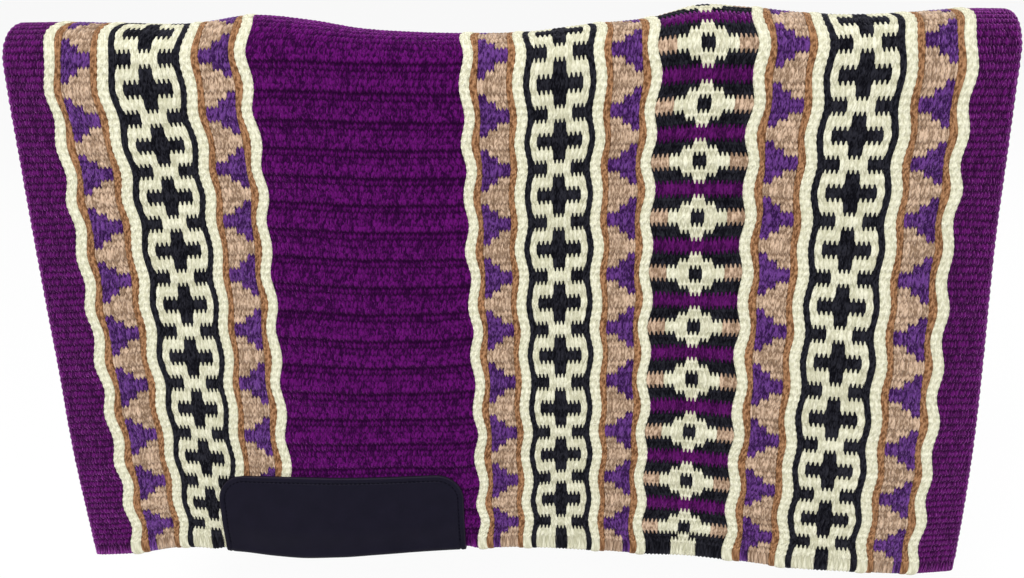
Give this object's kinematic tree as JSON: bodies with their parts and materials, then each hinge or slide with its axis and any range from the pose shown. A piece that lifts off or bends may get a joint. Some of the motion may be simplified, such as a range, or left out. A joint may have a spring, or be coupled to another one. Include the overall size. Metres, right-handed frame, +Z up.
{
  "type": "saddle blanket",
  "caption": "Thick woven wool saddle blanket hung over a rail by its fold, with striped and stepped patterns and a dark leather patch wrapped and sewn round each hem.",
  "frame": {"origin": "underside of the fold, halfway along the spine length, where the blanket rests on what carries it", "axes": "+X along the horse's spine, from the picture's left to its right; +Y from the near flap towards the far flap; +Z up"},
  "size_m": [0.864, 0.1596, 0.5385],
  "materials": {
    "purple_wool": "weft-faced ribbed wool weave, deep purple",
    "cream_wool": "plump cream wool yarn with a visible twist",
    "brown_wool": "mottled warm brown wool yarn",
    "black_wool": "near-black wool yarn with a navy tint",
    "triangle_wool": "violet stepped triangles on mottled tan wool",
    "cross_wool": "black stepped crosses and side tabs on cream wool",
    "diamond_wool": "cream and tan stepped diamonds between black and purple bars",
    "warp_cord": "undyed hard-twisted cord, hidden",
    "wear_leather": "smooth matte near-black leather with a fine grain and a burnished edge",
    "seam_thread": "waxed black thread"
  },
  "bodies": {
    "root": {"centre_field": "purple_wool", "diamond_band": "diamond_wool", "far_seam_thread": "seam_thread", "far_wear_leather": "wear_leather", "left_black_line_1": "black_wool", "left_black_line_2": "black_wool", "left_border": "purple_wool", "left_brown_line_1": "brown_wool", "left_brown_line_2": "brown_wool", "left_brown_line_3": "brown_wool", "left_brown_line_4": "brown_wool", "left_cream_line_1": "cream_wool", "left_cream_line_2": "cream_wool", "left_cream_line_3": "cream_wool", "left_cream_line_4": "cream_wool", "left_cross_band": "cross_wool", "left_triangle_band_1": "triangle_wool", "left_triangle_band_2": "triangle_wool", "middle_black_line_1": "black_wool", "middle_black_line_2": "black_wool", "middle_brown_line_1": "brown_wool", "middle_brown_line_2": "brown_wool", "middle_brown_line_3": "brown_wool", "middle_brown_line_4": "brown_wool", "middle_cream_line_1": "cream_wool", "middle_cream_line_2": "cream_wool", "middle_cream_line_3": "cream_wool", "middle_cream_line_4": "cream_wool", "middle_cross_band": "cross_wool", "middle_triangle_band_1": "triangle_wool", "middle_triangle_band_2": "triangle_wool", "near_seam_thread": "seam_thread", "near_wear_leather": "wear_leather", "right_black_line_1": "black_wool", "right_black_line_2": "black_wool", "right_border": "purple_wool", "right_brown_line_1": "brown_wool", "right_brown_line_2": "brown_wool", "right_brown_line_3": "brown_wool", "right_brown_line_4": "brown_wool", "right_cream_line_1": "cream_wool", "right_cream_line_2": "cream_wool", "right_cream_line_3": "cream_wool", "right_cream_line_4": "cream_wool", "right_cross_band": "cross_wool", "right_triangle_band_1": "triangle_wool", "right_triangle_band_2": "triangle_wool", "warp_cords": "warp_cord"}
  },
  "joints": []
}
